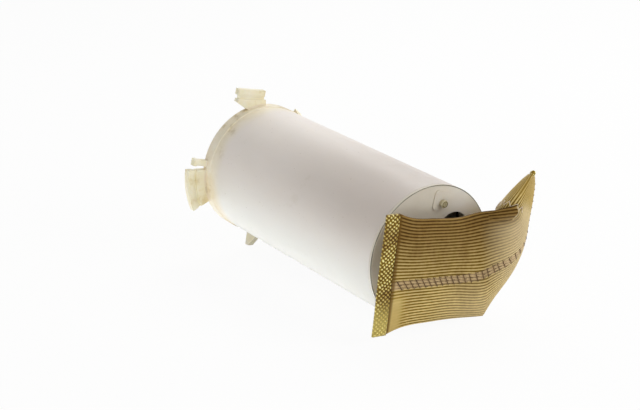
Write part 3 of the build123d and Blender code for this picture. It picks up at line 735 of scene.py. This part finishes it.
def spline_grid(points, rows, columns):
    """A fine grid through a coarse grid of points."""
    points = np.array(points) + (face_x, 0, 0)
    down, side = np.arange(points.shape[0]), np.arange(points.shape[1])
    lines = np.array([natural_spline(side, row, np.linspace(0, side[-1], columns)) for row in points])
    fine_down = np.linspace(0, down[-1], rows)
    return np.stack([natural_spline(down, lines[:, j], fine_down) for j in range(columns)], axis=1)


pleat_skin = spline_grid(pleat_points, pleat_rows, pleat_columns)
pleat_normals = unit(np.cross(np.gradient(pleat_skin, axis=1), np.gradient(pleat_skin, axis=0)))
if pleat_normals[:, :, 0].mean() < 0:
    pleat_normals = -pleat_normals
pleat_across = np.linspace(0, pleat_ribs, pleat_rows)
pleat_along = np.linspace(pleat_start, pleat_start + pleat_length, pleat_columns)
pleat_lift = pleat_half + rib_height * (rib_round(pleat_across) - rib_sunk)
outer = pleat_skin + pleat_normals * pleat_lift[:, None, None]
inner = pleat_skin - pleat_normals * pleat_half

# Faces of the outer skin, the inner one, and the edge between them, round the border in order
count = pleat_rows * pleat_columns
pleat_faces = grid_faces(pleat_rows, pleat_columns)
pleat_faces += [tuple(index + count for index in reversed(face)) for face in pleat_faces]
last_row, last_column = pleat_rows - 1, pleat_columns - 1
border = list(range(pleat_columns))
border += [i * pleat_columns + last_column for i in range(1, pleat_rows)]
border += [last_row * pleat_columns + j for j in range(last_column - 1, -1, -1)]
border += [i * pleat_columns for i in range(last_row - 1, 0, -1)]
for here, ahead in zip(border, border[1:] + border[:1]):
    pleat_faces.append((ahead, here, count + here, count + ahead))
pleat_uv = np.stack(np.broadcast_arrays(pleat_along[None, :], pleat_across[:, None]), axis=2).reshape(-1, 2)
pleat = piece("sock_pleat", np.concatenate([outer.reshape(-1, 3), inner.reshape(-1, 3)]), pleat_faces,
              finishes["sock_mesh"], uv=np.concatenate([pleat_uv, pleat_uv]))

hem_path = pleat_skin[hem_first_row:, -1] + pleat_normals[hem_first_row:, -1] * hem_lift
points, faces = thread_mesh([hem_path], hem_radius, sides=10)
hem = piece("pleat_hem", points, faces, hem_thread)


# Joint bead round the edge of the base, where it is welded to the tube. Its size wanders a little.

bead_x = 203.75
bead_radius = 45.75
bead_size = 0.25
slow_swell, quick_swell = 0.05, 0.03
bead_steps = 240
bead_sides = 8

bead_points = []
for a in np.linspace(0, 2 * pi, bead_steps + 1)[:-1]:
    size = bead_size + slow_swell * sin(3 * a + 0.6) + quick_swell * sin(11 * a)
    for k in range(bead_sides):
        side_turn = 2 * pi * k / bead_sides
        reach = bead_radius + size * cos(side_turn)
        bead_points.append((bead_x + size * sin(side_turn), reach * sin(a), reach * cos(a)))
bead_faces = [tuple(index % len(bead_points) for index in face)
              for face in grid_faces(bead_steps + 1, bead_sides, True)]
bead = piece("joint_bead", bead_points, bead_faces, bead_plastic)


# Ring pressed into the fill valve's head

valve_face, valve_y, valve_z = 207.75, 8.2, 33.3
valve_ring_radius = 1.75
valve_ring_wire = 0.30
valve_ring_steps = 61
valve_ring = [(valve_face, valve_y + valve_ring_radius * sin(a), valve_z + valve_ring_radius * cos(a))
              for a in np.linspace(0, 2 * pi, valve_ring_steps)]
points, faces = thread_mesh([valve_ring], valve_ring_wire)
ring_piece = piece("valve_ring", points, faces, ring_plastic, body="fill_valve")


# Springs of round wire with closed ends, each as long as its solid:
# the node, its joint, its axis (0 for X, 2 for Z), where it stands on that, and how far the joint moves its
# other end, in mm

springs = (
    ("check_spring", "check_valve_lift", 0, 108.0, 2.0),
    ("relief_spring", "relief_valve_lift", 0, 106.0, 1.0),
    ("brush_spring_a", "brush_a_slide", 2, 30.0, 1.5),
    ("brush_spring_b", "brush_b_slide", 2, -4.0, 1.5),
)
wire_radius = 0.19
spring_turns = 5
steps_per_turn = 28
closed_pitch = 0.42


def wound_spring(node, joint, axis, stand, travel):
    low, high = np.array(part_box(node)) / MM
    side_a, side_b = [k for k in range(3) if k != axis]
    wound = np.linspace(0, spring_turns, spring_turns * steps_per_turn + 1)
    rise = high[axis] - low[axis] - 2 * wire_radius
    path = np.tile((low + high) / 2, (len(wound), 1))
    path[:, axis] = low[axis] + wire_radius + np.interp(
        wound, (0, 1, spring_turns - 1, spring_turns), (0, closed_pitch, rise - closed_pitch, rise))
    coil_radius = (high[side_b] - low[side_b]) / 2 - wire_radius
    path[:, side_a] += coil_radius * np.cos(2 * pi * wound)
    path[:, side_b] += coil_radius * np.sin(2 * pi * wound)
    points, faces = thread_mesh([path], wire_radius)
    made = piece(node + "_wound", points, faces, finishes["spring_steel"])
    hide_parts(node)
    anchor = (low + high) / 2 * MM
    anchor[axis] = stand * MM
    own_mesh(made)


for spring in springs:
    wound_spring(*spring)


# Woven weld bands: flat strips pressed into a staggered lattice of domes on both faces

band_thickness = 3.2
dome_height = 0.5
dome_gain, dome_power = 1.25, 0.7
groove_depth = 0.3
lattice_start = 0.9
half_pitch_along = 1.6
half_pitch_up = 1.45
mesh_step = 0.27
edge_round, end_round = 1.0, 0.8
edge_share = 0.35
wave_depth, wave_count, wave_start = 0.35, 1.3, 0.6
weave_seed = 11
shift_waves, shift_size = 5, 0.16


def uneven(rng, a, b):
    """How far the lattice is shifted at each place, in mm: a sum of slow waves."""
    total = 0
    for k in range(shift_waves):
        size = rng.uniform(0.3, 1.0)
        rate_a = rng.uniform(0.5, 1.6)
        rate_b = rng.uniform(0.5, 1.6)
        total = total + size * np.sin(rate_a * a + rate_b * b + k * 1.7)
    return total * shift_size


def weld_band(name, node, row, sign, width):
    """A band on one row of the sock, built as rings round its thickness, from its lower end up."""
    origin = (top_line[row] + bottom_line[row]) / 2
    height = np.linalg.norm(top_line[row] - bottom_line[row])
    a = np.linspace(0, width, int(width / mesh_step))
    ring_a = np.concatenate([a, [width], a[::-1], [0]])
    ring_side = np.concatenate([np.ones(len(a)), [0], -np.ones(len(a)), [0]])
    b = np.linspace(0, height, int(height / mesh_step))
    rng = np.random.default_rng(weave_seed)
    shift_a, shift_b = [uneven(rng, ring_a[None, :], b[:, None]) for _ in range(2)]
    lattice = np.cos(pi * (ring_a[None, :] + shift_a - lattice_start) / half_pitch_along) \
        * np.cos(pi * (b[:, None] + shift_b) / half_pitch_up)
    dome = np.clip(lattice * dome_gain, 0, 1) ** dome_power - groove_depth * np.clip(-lattice, 0, 1)
    rounding = np.clip(np.minimum(ring_a, width - ring_a) / edge_round, 0, 1)[None, :] \
        * np.clip(np.minimum(b, height - b) / end_round, 0, 1)[:, None]
    out = (band_thickness / 2 - dome_height) * np.sqrt(edge_share + (1 - edge_share) * rounding)
    out = out + dome_height * dome * rounding
    wave = wave_depth * np.sin(b / height * 2 * pi * wave_count + wave_start)
    grid = origin + sign * run_line[row] * ring_a[None, :, None] \
        + across_line[row] * (b - height / 2)[:, None, None] \
        + face_line[row] * (out * ring_side[None, :] + wave[:, None])[:, :, None]
    uv = np.stack(np.broadcast_arrays(b[:, None] / height, np.clip(dome, 0, 1)), axis=2)
    made = piece(name, grid.reshape(-1, 3), skin_faces(len(b), len(ring_a)), finishes["band_mesh"],
                 uv=uv.reshape(-1, 2))
    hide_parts(node)


weld_band("weld_left", "left_band", row=0, sign=-1, width=10.0)
weld_band("weld_right", "right_band", row=rows - 1, sign=1, width=3.0)


# Floor and surroundings: paper and air that look white, and light the part less than they look

floor_height = -59.5
floor_slope = 0.0662
floor_reach = 6000.0
paper_white_share = 0.94
air_strength = 0.335

floor_points = [(x * floor_reach, y * floor_reach, floor_height + floor_slope * x * floor_reach)
                for x, y in ((-1, -1), (1, -1), (1, 1), (-1, 1))]
floor_mesh = bpy.data.meshes.new("floor")
floor_mesh.from_pydata([Vector(p) * MM for p in floor_points], [], [(0, 1, 2, 3)])
floor = bpy.data.objects.new("floor", floor_mesh)
collection.objects.link(floor)
paper = Finish("paper", 0.9, specular_ior_level=0.1)
paper.colour(rgb(246, 246, 244))
glow = paper.node("ShaderNodeEmission")
glow.inputs["Strength"].default_value = 1.0
paper.show_white(paper.shader, glow, paper_white_share, "Material Output")
floor_mesh.materials.append(paper.material)

world = bpy.data.worlds.new("world")
bpy.context.scene.world = world
world.use_nodes = True
air = Nodes(world.node_tree)
background = air.tree.nodes["Background"]
background.inputs["Color"].default_value = (1.0, 0.99, 0.97, 1)
background.inputs["Strength"].default_value = air_strength
white = air.node("ShaderNodeBackground")
white.inputs["Color"].default_value = (1, 1, 1, 1)
white.inputs["Strength"].default_value = 1.0
air.show_white(background, white, 1.0, "World Output")


# Lights and camera

def softbox(name, place, target, size, power):
    data = bpy.data.lights.new(name, "AREA")
    data.shape = "RECTANGLE"
    data.size, data.size_y = size
    data.energy = power
    lamp = bpy.data.objects.new(name, data)
    collection.objects.link(lamp)
    lamp.location = Vector(place)
    lamp.rotation_euler = (Vector(target) - Vector(place)).to_track_quat("-Z", "Y").to_euler()
    return lamp


softbox("back_light", place=(-0.30, 0.75, 0.95), target=(0.11, 0.0, 0.0), size=(1.2, 0.9), power=8.8)
softbox("low_light", place=(0.50, -0.85, 0.10), target=(0.14, 0.0, -0.02), size=(1.2, 0.30), power=2.5)
softbox("right_light", place=(0.95, 0.50, 0.65), target=(0.2, 0.02, 0.0), size=(0.6, 0.5), power=4.2)
card_place, above_card = (0.08, -0.095, -0.046), (0.08, -0.095, 1.0)
card = softbox("floor_card", place=card_place, target=above_card, size=(0.8, 0.13), power=0.15)
card.visible_camera = False

# The camera's place, axes and lens put the part where it stands in the photograph
camera_place = Vector((0.92898, -0.57305, 0.38456))
camera_right = Vector((0.55964, 0.82873, 0.0))
camera_up = Vector((-0.29498, 0.19920, 0.93451))
camera_forward = Vector((-0.77446, 0.52299, -0.35594))
camera_data = bpy.data.cameras.new("camera")
camera_data.lens = 89.11
camera_data.sensor_width = 36.0
camera = bpy.data.objects.new("camera", camera_data)
collection.objects.link(camera)
camera_axes = Matrix((camera_right, camera_up, -camera_forward)).transposed()
camera.matrix_world = Matrix.Translation(camera_place) @ camera_axes.to_4x4()
bpy.context.scene.camera = camera
bpy.context.scene.view_settings.view_transform = "Standard"
